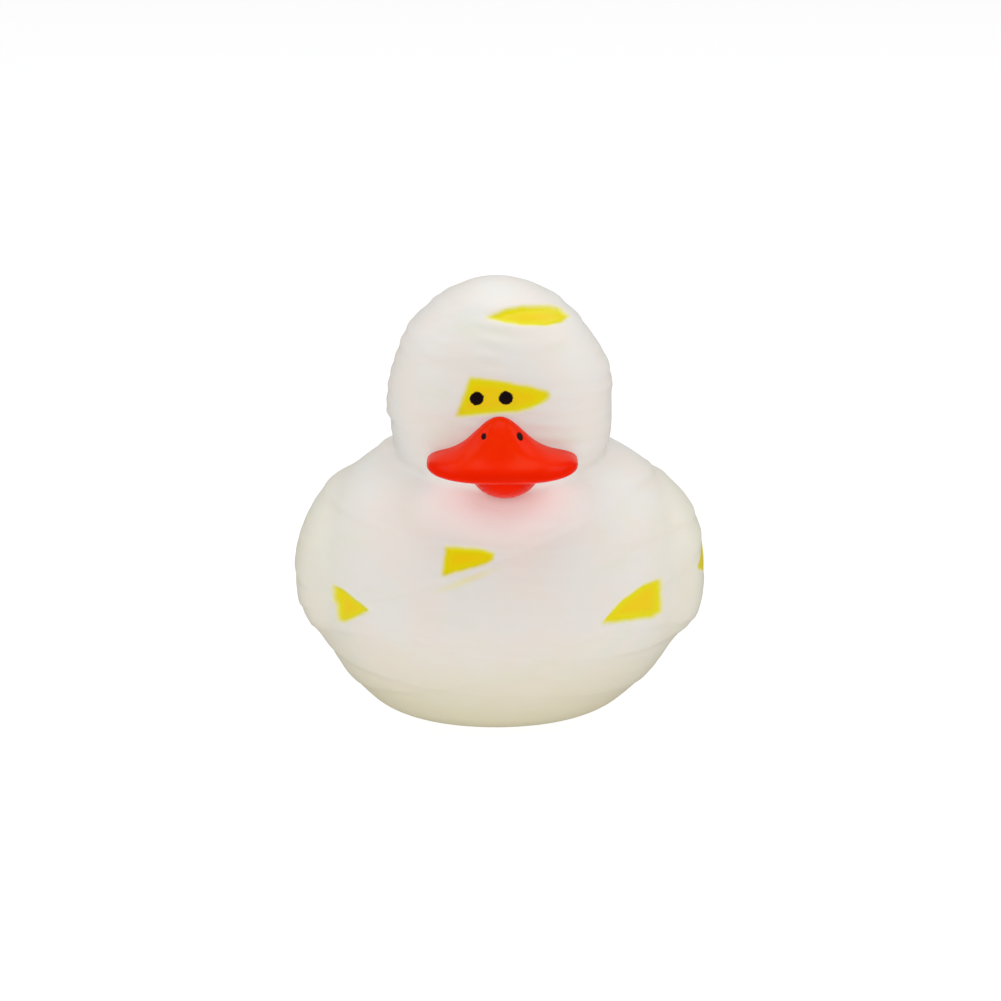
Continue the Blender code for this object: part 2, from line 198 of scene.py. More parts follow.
# Printed eyes and sunk nostrils as seen from the front, in the same way: across, up, half width,
# half height, lean
EYES = ((-2.6, 34.35, 0.78, 0.76, 0.0), (0.6, 34.4, 0.80, 0.76, 0.0))
NOSTRILS = ((-1.8, 30.3, 0.28, 0.38, 0.0), (2.1, 30.3, 0.32, 0.48, 0.35))
NOSTRIL_DEPTH = 0.00018
NOSTRIL_EDGE_MM = 0.3

# A smear of yellow below the window on the breast, and a speck of dirt on the belly, listed alike
SMEARS = ((-3.6, 14.6, 2.7, 0.3, 0.37),)
SPECKS = ((0.5, 12.1, 0.13, 0.11, 0.0),)

# Hollow, and the hole and seat that the squeaker is pressed into
WALL = 0.0019
BASE_WALL = 0.0030
SQUEAKER_NECK_RADIUS = 0.0042
SQUEAKER_FLANGE_RADIUS = 0.0056
SQUEAKER_FLANGE_THICKNESS = 0.0008
SQUEAKER_BARB_RADIUS = 0.0051
SQUEAKER_BARB_HEIGHT = 0.0034
SQUEAKER_CHAMBER_RADIUS = 0.0024
SQUEAKER_AIR_HOLE_RADIUS = 0.0008
SQUEAKER_FACE_THICKNESS = 0.0012
SQUEAKER_INSET = 0.0003
SQUEAKER_LIP = 0.00012
SQUEAKER_SHARP_ANGLE = math.radians(50)
SQUEAKER_WELD = 0.00001
SEAT_CLEARANCE = 0.0003
SEAT_CHAMFER = 0.00015

# Camera: a long lens in front of the duck, looking down on it
CAMERA_DISTANCE = 0.450
CAMERA_AIM_Z = 0.0239
CAMERA_CLIP_START = 0.01
FRAME_WIDTH_AT_DUCK = 0.1138
SENSOR_WIDTH = 36

# Light: the tent's strength on surfaces and in their gloss, and how much of the floor glows white
WORLD_LIGHT = 0.30
WORLD_IN_GLOSS = 0.10
FLOOR_SIZE = 4
FLOOR_GLOW = 1.14
FLOOR_IN_GLOSS = 0.15
FLOOR_GLOW_SHARE = 0.8
FLOOR_GLOW_SHARE_UNSEEN = 0.5

# Soft boxes that face the duck's middle: name, place, size, watts, colour, and if gloss mirrors it
COOL = (0.92, 0.98, 1.0)
PLAIN = (0.97, 0.985, 1.0)
LAMP_AIM = (0, 0, 0.025)
LAMPS = (
    ("top_box", (0.0, 0.14, 0.58), 0.40, 1.5, COOL, True),
    ("left_back_box", (-0.38, 0.18, 0.42), 0.30, 0.55, COOL, True),
    ("right_back_box", (0.38, 0.18, 0.42), 0.30, 0.65, COOL, True),
    ("left_box", (-0.50, -0.06, 0.36), 0.36, 0.96, COOL, False),
    ("right_box", (0.50, -0.06, 0.36), 0.36, 1.08, COOL, False),
    ("front_box", (0.0, -0.60, 0.15), 0.30, 1.25, PLAIN, False),
)

# Noise in the white coat: the size of its features in millimetres, how much it is squeezed along
# each axis, and its detail
COAT_NOISE = {
    "blush": (7.0, (1, 1, 1), 3.0),
    "mottle": (6.0, (1, 1, 2), 3.0),
    "drift": (6.0, (1, 1, 1), 3.0),
    "ragged": (0.9, (1, 1, 1), 3.0),
    "smudge": (0.28, (1, 1, 1), 3.0),
    "streaks": (0.9, (1, 1, 5), 4.0),
    "grain": (0.35, (1, 1, 1), 3.0),
}
COAT_DRIFT = 0.006

# Where a whiter coat is painted in the crease under the bill as painted light, standing in for light
# there, and how much wider than high that spot is
PAINTED_LIGHT_UNDER_BILL = (0.0, -0.0160, 0.0285)
PAINTED_LIGHT_SQUEEZE = (0.6, 1.0, 1.0)

# A smooth change between two limits. Its inputs go by number: the value, the two limits, and what
# it gives at each of them, which are 0 to 1 where they aren't named
SMOOTH = {"interpolation_type": "SMOOTHSTEP"}

# How finely the pieces are drawn
SKIN_STEPS_ROUND = 400
SKIN_RING_SPACING = 0.00028
HOLLOW_RING_SPACING = 8 * SKIN_RING_SPACING
BASE_EDGE_RINGS = 8
CROWN_RING_CROWDING = 1.35
BILL_STEPS_ROUND = 288
BILL_RINGS = 44
SQUEAKER_STEPS_ROUND = 96

# How the skin is searched for: the longest ray, the steepest slope of the neck's crease, how often
# each search is halved, the step of a slope, and the least size that is divided by
FIELD_REACH = 0.045
CREASE_SLOPE = 1.0
RAY_HALVINGS = 30
CREASE_HALVINGS = 24
NORMAL_STEP = 2e-5
LEAST = 1e-9

# The distance in millimetres that stands for out of reach
FAR = 9.0


def smooth_step(value):
    """0 below 0, 1 above 1, and an even curve between."""
    share = np.clip(value, 0, 1)
    return share * share * (3 - 2 * share)


def smooth_union(a, b, width):
    """The lesser of two distances, with the crease between them filled over a width."""
    share = np.clip(0.5 + 0.5 * (b - a) / width, 0, 1)
    return b + (a - b) * share - width * share * (1 - share)


def egg_distance(q, half_width, front, back, above, below, power_above, power_below):
    """Distance outside an egg round the origin, along the line from its centre.

    The egg is where (level distance)^n + (height)^n = 1, each as a share of its half size, and
    front and back, and above and below, have half sizes of their own.
    """
    x, y, z = q[..., 0], q[..., 1], q[..., 2]
    level = np.hypot(x / half_width, y / np.where(y < 0, front, back))
    power = np.where(z > 0, power_above, power_below)
    height = np.abs(z) / np.where(z > 0, above, below)
    share = np.maximum((level**power + height**power) ** (1 / power), LEAST)
    size = np.linalg.norm(q, axis=-1)
    return size - size / share


def crown_shift(z):
    """How far the head's axis has moved to -X at a height."""
    return -CROWN_LEAN * np.maximum(z - HEAD_Z, 0)


def head_distance(p):
    shift = crown_shift(p[..., 2])
    q = np.stack([p[..., 0] - shift, p[..., 1] - HEAD_Y, p[..., 2] - HEAD_Z], -1)
    length = HEAD_HALF_LENGTH
    return egg_distance(
        q, HEAD_HALF_WIDTH, length, length, HEAD_ABOVE, HEAD_BELOW, CROWN_POWER, CHEEK_POWER
    )


def tail_distance(p):
    """Distance to a round cone: to the nearest point of its axis, less the radius there."""
    along = TAIL_TIP - TAIL_ROOT
    share = np.clip((p - TAIL_ROOT) @ along / (along @ along), 0, 1)
    radius = TAIL_ROOT_RADIUS + (TAIL_TIP_RADIUS - TAIL_ROOT_RADIUS) * share
    return np.linalg.norm(p - TAIL_ROOT - share[..., None] * along, axis=-1) - radius


def wing_distance(p):
    """Distance to a flat egg on each flank, toed in at the back and tilted up at the tip."""
    out, back = np.abs(p[..., 0]) - WING_X, p[..., 1] - WING_Y
    x = out * math.cos(WING_TOE_IN) + back * math.sin(WING_TOE_IN)
    y = back * math.cos(WING_TOE_IN) - out * math.sin(WING_TOE_IN)
    z = p[..., 2] - WING_Z
    along = y * math.cos(WING_TILT) + z * math.sin(WING_TILT)
    up = z * math.cos(WING_TILT) - y * math.sin(WING_TILT)
    thick, long, high = WING_HALF
    return egg_distance(np.stack([x, along, up], -1), thick, long, long, high, high, 2, 2)


def belly_shift(z):
    """How far the belly's axis has moved to -X at a height."""
    return -BELLY_LEAN * np.maximum(BELLY_LEAN_Z - z, 0)


def body_distance(p):
    q = np.stack([p[..., 0] - belly_shift(p[..., 2]), p[..., 1] - BODY_Y, p[..., 2] - BODY_Z], -1)
    egg = egg_distance(
        q,
        BODY_HALF_WIDTH,
        BODY_FRONT,
        BODY_BACK,
        BODY_ABOVE,
        BODY_BELOW,
        BACK_POWER,
        BELLY_POWER,
    )
    with_tail = smooth_union(egg, tail_distance(p), TAIL_BLEND)
    return smooth_union(with_tail, wing_distance(p), WING_BLEND)


def skin_distance(p):
    return smooth_union(body_distance(p), head_distance(p), NECK_BLEND)


def share_on_head(p):
    """1 on the head and 0 on the body, with a smooth change over the neck's crease."""
    return smooth_step(0.5 + (body_distance(p) - head_distance(p)) / NECK_BLEND)


def share_off_base(p):
    """0 on the rounded edge of the base, rising smoothly to 1 above it."""
    return smooth_step((p[..., 2] - BASE_EDGE_RADIUS) / BASE_FADE)


def front_share(p):
    """The cloth lies flatter over face and breast: a share that grows with (x / radius)^2 there."""
    aside = p[..., 0] ** 2 / np.maximum(p[..., 0] ** 2 + p[..., 1] ** 2, LEAST)
    turned = np.where(p[..., 1] < 0, aside, 1)
    return FRONT_RELIEF_SHARE + (1 - FRONT_RELIEF_SHARE) * turned


def wrap_relief(p):
    """How far the wraps stand proud: each steps up at its lower edge and thins out above it."""
    on_head = share_on_head(p)
    total = np.zeros(p.shape[:-1])
    for wraps, share in ((HEAD_WRAPS, on_head), (BODY_WRAPS, 1 - on_head)):
        for height, across, back in wraps:
            above = p[..., 2] - height - across * p[..., 0] - back * p[..., 1]
            edge = smooth_step(above / WRAP_EDGE_WIDTH)
            total += share * edge * (1 - smooth_step(above / WRAP_WIDTH))
    return WRAP_THICKNESS * share_off_base(p) * total * front_share(p)


def fold_relief(p):
    """Low ripples in patches: sin(2 pi height / pitch + wander), times a smooth step of two sines."""
    x, y, z = p[..., 0], p[..., 1], p[..., 2]
    wander = np.sin(x / FOLD_WANDER_LEVEL + z / FOLD_WANDER_RISE)
    wander += np.sin(y / FOLD_WANDER_LEVEL - x / FOLD_WANDER_ASIDE)
    ripple = np.sin(2 * math.pi * (z + FOLD_TILT * x) / FOLD_PITCH + FOLD_WANDER * wander)
    across = np.sin(x / FOLD_PATCH_WIDTH + FOLD_PATCH_WANDER * wander)
    along = np.sin(z / FOLD_PATCH_HEIGHT + y / FOLD_PATCH_LENGTH)
    patches = smooth_step(0.5 + 0.5 * across * along)
    height = FOLD_HEIGHT * (FOLD_SHARE_ON_BODY + (1 - FOLD_SHARE_ON_BODY) * share_on_head(p))
    return height * share_off_base(p) * patches * ripple


def axis_at(z):
    """The point of the curved axis at a height: it runs from the base's centre to the head's."""
    lean = smooth_step((z - BODY_Z) / (HEAD_Z - BODY_Z))
    return np.stack([crown_shift(z), HEAD_Y * lean, z], -1)


def outermost(start, direction, distance):
    """How far along each ray a distance turns from inside to outside, by halving."""
    low = np.zeros(np.broadcast_shapes(start.shape, direction.shape)[:-1])
    high = np.full(low.shape, FIELD_REACH)
    for _ in range(RAY_HALVINGS):
        middle = (low + high) / 2
        inside = distance(start + middle[..., None] * direction) < 0
        low = np.where(inside, middle, low)
        high = np.where(inside, high, middle)
    return low


def crease_slopes(outward):
    """The slope at which each ray from the neck meets the crease between head and body."""
    start = axis_at(np.array(NECK_Z))
    low = np.full(outward.shape[:-1], -CREASE_SLOPE)
    high = np.full(outward.shape[:-1], CREASE_SLOPE)
    for _ in range(CREASE_HALVINGS):
        middle = (low + high) / 2
        ray = outward + middle[..., None] * UP
        ahead = outermost(start, ray, head_distance) > outermost(start, ray, body_distance)
        high = np.where(ahead, middle, high)
        low = np.where(ahead, low, middle)
    return low


def skin_rings(floor, depth, spacing):
    """Rings of the surface a depth below the skin, from a floor up, and its crown point.

    Point (ring, turn) = axis(z) + r * (sin turn, -cos turn, slope), where r solves
    skin distance = -depth. The slope carries one ring along the neck's crease and lifts the rings
    behind into the tail. Near the floor r is less by what a round of the base's edge takes off.
    """
    edge_radius = BASE_EDGE_RADIUS
    steps = SKIN_STEPS_ROUND

    def surface(p):
        return skin_distance(p) + depth

    top = HEAD_Z + outermost(axis_at(np.array(HEAD_Z)), UP, surface)
    edge = floor + edge_radius * (1 - np.cos(np.linspace(0, math.pi / 2, BASE_EDGE_RINGS + 1)[:-1]))
    below = np.linspace(floor + edge_radius, NECK_Z, round((NECK_Z - floor) / spacing))
    above = np.linspace(NECK_Z, HEAD_Z, round((HEAD_Z - NECK_Z) / spacing))[1:]
    rings_above = round((top - HEAD_Z) * CROWN_RING_CROWDING / spacing)
    crown = HEAD_Z + (top - HEAD_Z) * np.sin(np.linspace(0, math.pi / 2, rings_above + 1))[1:-1]
    z = np.concatenate([edge, below, above, crown])
    turn = np.arange(steps) * 2 * math.pi / steps
    outward = np.stack([np.sin(turn), -np.cos(turn), np.zeros(steps)], -1)
    share = np.where(z < NECK_Z, (z - floor) / (NECK_Z - floor), (top - z) / (top - NECK_Z))
    behind = np.clip(-np.cos(turn), 0, 1) ** 2
    rise = TAIL_RISE * np.sin(math.pi * np.clip((z - floor) / (NECK_Z - floor), 0, 1)) ** 2
    slope = smooth_step(share)[:, None] * crease_slopes(outward) + rise[:, None] * behind
    rays = outward + slope[..., None] * UP
    centre = axis_at(z)[:, None]
    radius = outermost(centre, rays, surface)
    cut = np.clip(edge_radius - (z - floor), 0, None)
    radius -= (edge_radius - np.sqrt(edge_radius**2 - cut**2))[:, None]
    return centre + radius[..., None] * rays, np.array([*axis_at(np.array(top))[:2], top])


def outward_normals(p):
    """The direction in which the skin's distance grows fastest."""
    steps = NORMAL_STEP * np.eye(3)
    slopes = [skin_distance(p + step) - skin_distance(p - step) for step in steps]
    normals = np.stack(slopes, -1)
    return normals / np.linalg.norm(normals, axis=-1, keepdims=True)


def in_view(p, azimuth):
    """A point's place across and up in the view from an azimuth, in millimetres.

    The third value is the direction from the duck to that viewer.
    """
    turn = math.radians(azimuth)
    right = np.array([math.cos(turn), math.sin(turn), 0])
    away = np.array([-math.sin(turn), math.cos(turn), 0])
    up = away * math.sin(VIEW_TILT) + UP * math.cos(VIEW_TILT)
    towards = UP * math.sin(VIEW_TILT) - away * math.cos(VIEW_TILT)
    return p @ right / MM, p @ up / MM, towards


def outline_distance(across, up, corners):
    """Signed distance to a closed outline: the least to any side, negative inside."""
    nearest = np.full(across.shape, np.inf)
    inside = np.zeros(across.shape, bool)
    for (ax, ay), (bx, by) in zip(corners, corners[1:] + corners[:1]):
        side_x, side_y = bx - ax, by - ay
        share = ((across - ax) * side_x + (up - ay) * side_y) / (side_x**2 + side_y**2)
        share = np.clip(share, 0, 1)
        nearest = np.minimum(
            nearest, np.hypot(across - ax - share * side_x, up - ay - share * side_y)
        )
        crosses = (ay > up) != (by > up)
        if side_y:
            inside ^= crosses & (across < ax + (up - ay) * side_x / side_y)
    return np.where(inside, -nearest, nearest)


def window_distance(p, normals):
    """Signed distance in millimetres to the nearest window's edge, negative inside."""
    nearest = np.full(p.shape[:-1], FAR)
    for azimuth, corners in WINDOWS:
        across, up, towards = in_view(p, azimuth)
        distance = outline_distance(across, up, corners)
        nearest = np.minimum(nearest, np.where(normals @ towards > 0, distance, FAR))
    return nearest


def spot_distance(p, normals, spots):
    """Signed distance in millimetres, near its edge, to the nearest of some leaning ovals."""
    across, up, towards = in_view(p, 0)
    nearest = np.full(p.shape[:-1], FAR)
    for x, y, half_width, half_height, lean in spots:
        a = (across - x) * math.cos(lean) + (up - y) * math.sin(lean)
        b = (up - y) * math.cos(lean) - (across - x) * math.sin(lean)
        distance = (np.hypot(a / half_width, b / half_height) - 1) * min(half_width, half_height)
        nearest = np.minimum(nearest, distance)
    return np.where(normals @ towards > 0, nearest, FAR)


def lap_distance(p):
    """How far below the nearest wrap's lower edge a point is, in millimetres."""
    on_head = body_distance(p) > head_distance(p)
    nearest = np.full(p.shape[:-1], FAR)
    for wraps, here in ((HEAD_WRAPS, on_head), (BODY_WRAPS, ~on_head)):
        for height, across, back in wraps:
            below = (height + across * p[..., 0] + back * p[..., 1] - p[..., 2]) / MM
            nearest = np.where(here & (below > 0), np.minimum(nearest, below), nearest)
    return nearest


def closed_piece(name, rings, poles, attributes):
    """A mesh from a stack of equal rings, closed by a pole at either end where one is given."""
    rows, steps = rings.shape[:2]
    points = [rings.reshape(-1, 3)] + [np.asarray(pole)[None] for pole in poles if pole is not None]
    row = np.arange(rows - 1)[:, None] * steps
    here = np.arange(steps)
    ahead = (here + 1) % steps
    quads = np.stack([row + here, row + ahead, row + steps + ahead, row + steps + here], -1)
    faces = quads.reshape(-1, 4).tolist()
    extra = rows * steps
    if poles[0] is not None:
        faces += np.stack([ahead, here, np.full(steps, extra)], -1).tolist()
        extra += 1
    if poles[1] is not None:
        last = (rows - 1) * steps
        faces += np.stack([last + here, last + ahead, np.full(steps, extra)], -1).tolist()
    mesh = bpy.data.meshes.new(name)
    mesh.from_pydata(np.concatenate(points).tolist(), [], faces)
    for key, values in attributes.items():
        layer = mesh.attributes.new(key, "FLOAT", "POINT")
        flat = np.full(len(mesh.vertices), FAR, np.float32)
        flat[: values.size] = values.reshape(-1)
        layer.data.foreach_set("value", flat)
    mesh.shade_smooth()
    mesh.update()
    made = bpy.data.objects.new(name, mesh)
    bpy.context.scene.collection.objects.link(made)
    return made


def flat_ring(radius, z, steps):
    """A level circle round the duck's axis."""
    turn = np.arange(steps) * 2 * math.pi / steps
    return np.stack([radius * np.sin(turn), -radius * np.cos(turn), np.full(steps, z)], -1)


def make_skin():
    """The outer skin with its relief, joined through the base's hole to the hollow inside."""
    steps = SKIN_STEPS_ROUND
    outer, crown = skin_rings(0, 0, SKIN_RING_SPACING)
    normals = outward_normals(outer)
    distances = {
        "window_mm": window_distance(outer, normals),
        "eye_mm": spot_distance(outer, normals, EYES),
        "lap_mm": lap_distance(outer),
        "smear_mm": spot_distance(outer, normals, SMEARS),
        "speck_mm": spot_distance(outer, normals, SPECKS),
    }
    bare = smooth_step(0.5 - distances["window_mm"] * MM / WINDOW_EDGE_WIDTH)
    proud = (wrap_relief(outer) + fold_relief(outer)) * (1 - bare) - WINDOW_DEPTH * bare
    outer = outer + proud[..., None] * normals
    crown = crown + UP * proud[-1].mean()
    inner, inner_crown = skin_rings(BASE_WALL, WALL, HOLLOW_RING_SPACING)
    hole = SQUEAKER_NECK_RADIUS + SEAT_CLEARANCE
    seat = SQUEAKER_FLANGE_RADIUS + SEAT_CLEARANCE
    seat_top = SQUEAKER_INSET + SQUEAKER_FLANGE_THICKNESS + SEAT_CLEARANCE
    base = [
        flat_ring(hole, BASE_WALL, steps),
        flat_ring(hole, seat_top, steps),
        flat_ring(seat, seat_top, steps),
        flat_ring(seat, SEAT_CHAMFER, steps),
        flat_ring(seat + SEAT_CHAMFER, 0, steps),
    ]
    rings = np.concatenate([inner[::-1], np.stack(base), outer])
    hidden = np.full((len(inner) + len(base), steps), FAR)
    attributes = {key: np.concatenate([hidden, shown]) for key, shown in distances.items()}
    return closed_piece("duck_skin", rings, (inner_crown, crown), attributes)


def bill_ridge(x, y):
    """The height of the bill's ridge: a bell across, rising from the tip to the face."""
    tip = BILL_ROOT_Y - BILL_REACH
    rise = smooth_step((y - tip) / (RIDGE_TOP_Y - tip))
    aside = np.abs(x - RIDGE_X) / RIDGE_HALF_WIDTH
    return RIDGE_HEIGHT * rise * np.exp(-(aside**RIDGE_POWER) / 2)


def bill_half(name, middle, rim_z, half_width, reach, above, below, plan_power, lip_power, ridged):
    """A rounded plate: rings from the middle of its underside, round its rim, to its top.

    In plan a ring is |x|^p + |y|^p = share^p, and its face lies thickness * sqrt(1 - share^q)
    from the rim's level, plus the ridge on the upper side.
    """
    turn = np.arange(BILL_STEPS_ROUND) * 2 * math.pi / BILL_STEPS_ROUND
    across, ahead = np.sin(turn), np.cos(turn)
    squared = (np.abs(across) ** plan_power + np.abs(ahead) ** plan_power) ** (-1 / plan_power)
    rise = np.sin(np.linspace(0, math.pi / 2, BILL_RINGS + 1)[1:])
    share = np.concatenate([rise, rise[-2::-1]])[:, None]
    side = np.concatenate([-np.ones(BILL_RINGS), np.ones(BILL_RINGS - 1)])[:, None]
    x = middle + half_width * share * squared * across
    y = BILL_ROOT_Y - reach * share * squared * ahead
    fullness = np.sqrt(np.clip(1 - share**lip_power, 0, 1))
    z = np.broadcast_to(rim_z + np.where(side > 0, above, -below) * fullness, x.shape)
    if ridged:
        z = z + np.where(side > 0, bill_ridge(x, y) * fullness, 0)
    rings = np.stack([x, y, z], -1)
    upward = np.zeros(rings.shape)
    upward[..., 2] = side
    nostril = spot_distance(rings, upward, NOSTRILS)
    if ridged:
        rings[..., 2] -= NOSTRIL_DEPTH * smooth_step(0.5 - nostril / NOSTRIL_EDGE_MM)
    poles = (rings[0].mean(axis=0), rings[-1].mean(axis=0))
    return closed_piece(name, rings, poles, {"nostril_mm": nostril})


def make_bill():
    """The two halves of the bill, the lower one tucked up into the upper one's rim."""
    upper = bill_half(
        "upper_bill",
        middle=BILL_X,
        rim_z=BILL_RIM_Z,
        half_width=BILL_HALF_WIDTH,
        reach=BILL_REACH,
        above=BILL_ABOVE,
        below=BILL_BELOW,
        plan_power=BILL_PLAN_POWER,
        lip_power=BILL_LIP_POWER,
        ridged=True,
    )
    tucked = BILL_BELOW / 2
    lower = bill_half(
        "lower_bill",
        middle=JAW_X,
        rim_z=BILL_RIM_Z - tucked,
        half_width=JAW_HALF_WIDTH,
        reach=JAW_REACH,
        above=tucked / 2,
        below=JAW_DEPTH + tucked,
        plan_power=JAW_POWER,
        lip_power=JAW_POWER,
        ridged=False,
    )
    return upper, lower


def linear(hex_colour):
    """Linear red, green, blue and alpha from an sRGB hex colour."""
    coded = [int(hex_colour[i : i + 2], 16) / 255 for i in (1, 3, 5)]
    return (*[c / 12.92 if c <= 0.04045 else ((c + 0.055) / 1.055) ** 2.4 for c in coded], 1)


def add(tree, kind, settings, inputs):
    """Adds a node, gives it its settings, links or sets its inputs, and returns its outputs.

    An input goes by its name or its number, and a hex colour is turned to linear.
    """
    node = tree.nodes.new(kind)
    for key, value in settings.items():
        setattr(node, key, value)
    for key, value in inputs.items():
        socket = node.inputs[key]
        if isinstance(value, bpy.types.NodeSocket):
            tree.links.new(value, socket)
        else:
            socket.default_value = linear(value) if isinstance(value, str) else value
    return node.outputs


def new_material(name):
    """A material with an empty tree of nodes."""
    made = bpy.data.materials.new(name)
    made.use_nodes = True
    made.node_tree.nodes.clear()
    return made, made.node_tree


def set_finish(tree, finish):
    """Gives a tree its one shader, from a finish that names the shader's inputs."""
    shader = add(tree, "ShaderNodeBsdfPrincipled", {}, finish)["BSDF"]
    add(tree, "ShaderNodeOutputMaterial", {}, {"Surface": shader})


def lay_coats(tree, under, coats):
    """Lays coats of colour one over another, and returns the colour that shows.

    A coat has the value that places it, two limits of that value, how much of the coat lies at each
    of them, and its colour. Between the limits the coat thins out smoothly.
    """
    for value, start, end, at_start, at_end, colour in coats:
        limits = {0: value, 1: start, 2: end, 3: at_start, 4: at_end}
        share = add(tree, "ShaderNodeMapRange", SMOOTH, limits)["Result"]
        under = add(tree, "ShaderNodeMix", {"data_type": "RGBA"}, {0: share, 6: under, 7: colour})[2]
    return under


def painted_vinyl():
    """Soft yellow PVC, rotationally cast, under a thin pearly white coat brushed on the wraps.

    It gives a satin sheen and a cream white that turns greenish yellow beside the windows, is darker
    and greener yellow on the flanks and low on the body, is darker and yellower below each lap as
    painted shade, and is painted whiter in the crease under the bill as painted light.
    Inside the windows the smooth yellow vinyl shows, with black eyes printed on it.
    """
    made, tree = new_material("soft_pvc_white_coat")
    place = add(tree, "ShaderNodeTexCoord", {}, {})["Object"]
    axes = add(tree, "ShaderNodeSeparateXYZ", {}, {"Vector": place})
    noise = {}
    for key, (size, squeeze, detail) in COAT_NOISE.items():
        squeezed = add(tree, "ShaderNodeMapping", {}, {"Vector": place, "Scale": squeeze})["Vector"]
        inputs = {"Vector": squeezed, "Scale": 1 / (size * MM), "Detail": detail}
        noise[key] = add(tree, "ShaderNodeTexNoise", {}, inputs)["Fac"]

    # Distances in millimetres from the paint's edges. Those of the windows and the eyes wander by
    # noise * reach - reach / 2, so that the edges look hand painted
    off = {}
    for key in ("window_mm", "eye_mm", "lap_mm", "smear_mm", "speck_mm"):
        off[key] = add(tree, "ShaderNodeAttribute", {"attribute_name": key}, {})["Fac"]
    for key, pattern, reach in (("window_mm", "ragged", 0.25), ("eye_mm", "smudge", 0.3)):
        inputs = {0: noise[pattern], 1: reach, 2: -reach / 2}
        wander = add(tree, "ShaderNodeMath", {"operation": "MULTIPLY_ADD"}, inputs)["Value"]
        off[key] = add(tree, "ShaderNodeMath", {"operation": "ADD"}, {0: off[key], 1: wander})["Value"]

    # How high up, how far to the side and how far from the painted light in the bill's crease a point is
    inputs = {0: noise["drift"], 1: COAT_DRIFT, 2: axes["Z"]}
    height = add(tree, "ShaderNodeMath", {"operation": "MULTIPLY_ADD"}, inputs)["Value"]
    aside = add(tree, "ShaderNodeMath", {"operation": "ABSOLUTE"}, {0: axes["X"]})["Value"]
    narrowed = add(tree, "ShaderNodeMapping", {}, {"Vector": place, "Scale": PAINTED_LIGHT_SQUEEZE})["Vector"]
    inputs = {0: narrowed, 1: PAINTED_LIGHT_UNDER_BILL}
    from_painted_light = add(tree, "ShaderNodeVectorMath", {"operation": "DISTANCE"}, inputs)["Value"]

    # The white coat: warm and greenish patches, darker and greener yellow low down and towards the
    # flanks, a whiter patch under the bill that is painted light, then the painted shade below each lap,
    # the smear, the speck and the yellow that shows through beside each window
    white = (
        (noise["blush"], 0.35, 0.65, 0.0, 1.0, "#E5DAD2"),
        (noise["mottle"], 0.5, 0.8, 0.0, 0.7, "#DEDACC"),
        # darker and greener yellow low down
        (height, 0.002, 0.018, 0.7, 0.0, "#D9D1A8"),
        # darker and greener yellow towards the flanks
        (aside, 0.014, 0.023, 0.0, 0.4, "#DAD5B6"),
        # painted light: a whiter coat under the bill in place of the light that the bill's shade and red
        # bounce take away
        (from_painted_light, 0.004, 0.0072, 0.8, 0.0, "#F3F2EE"),
        # painted shade: darker and yellower just below each wrap's lower edge
        (off["lap_mm"], 0.0, 0.6, 0.05, 0.0, "#D8CDA6"),
        (off["smear_mm"], -0.3, 0.3, 0.45, 0.0, "#E6D868"),
        (off["speck_mm"], -0.1, 0.06, 0.5, 0.0, "#9A5A50"),
        (off["window_mm"], 0.0, 0.4, 0.75, 0.0, "#E4DC70"),
    )

    # The yellow vinyl, greener at a window's edge, with the white coat round it and the eyes on it
    vinyl = (
        (off["window_mm"], -1.1, -0.1, 0.0, 1.0, "#E3D500"),
        (off["window_mm"], -0.2, 0.18, 0.0, 1.0, lay_coats(tree, "#E2DCD6", white)),
        (off["eye_mm"], -0.06, 0.06, 1.0, 0.0, "#16060A"),
    )

    # The white coat is duller than bare vinyl and than the eyes, and its brush marks are a bump
    coated = add(tree, "ShaderNodeMapRange", SMOOTH, {0: off["window_mm"], 1: -0.1, 2: 0.14})["Result"]
    unprinted = add(tree, "ShaderNodeMapRange", SMOOTH, {0: off["eye_mm"], 1: -0.06, 2: 0.06})["Result"]
    dull = add(tree, "ShaderNodeMath", {"operation": "MULTIPLY"}, {0: coated, 1: unprinted})["Value"]
    inputs = {0: noise["grain"], 1: 0.5, 2: noise["streaks"]}
    ripples = add(tree, "ShaderNodeMath", {"operation": "MULTIPLY_ADD"}, inputs)["Value"]
    relief = {"Height": ripples, "Strength": 0.25, "Distance": 0.06 * MM}
    finish = {
        "Base Color": lay_coats(tree, "#EBC800", vinyl),
        "Roughness": add(tree, "ShaderNodeMapRange", SMOOTH, {0: dull, 3: 0.36, 4: 0.42})["Result"],
        "IOR": 1.53,
        "Specular IOR Level": 0.18,
        "Subsurface Weight": 0.05,
        "Subsurface Radius": (1.0, 0.6, 0.3),
        "Subsurface Scale": 0.6 * MM,
        "Normal": add(tree, "ShaderNodeBump", {}, relief)["Normal"],
    }
    set_finish(tree, finish)
    return made


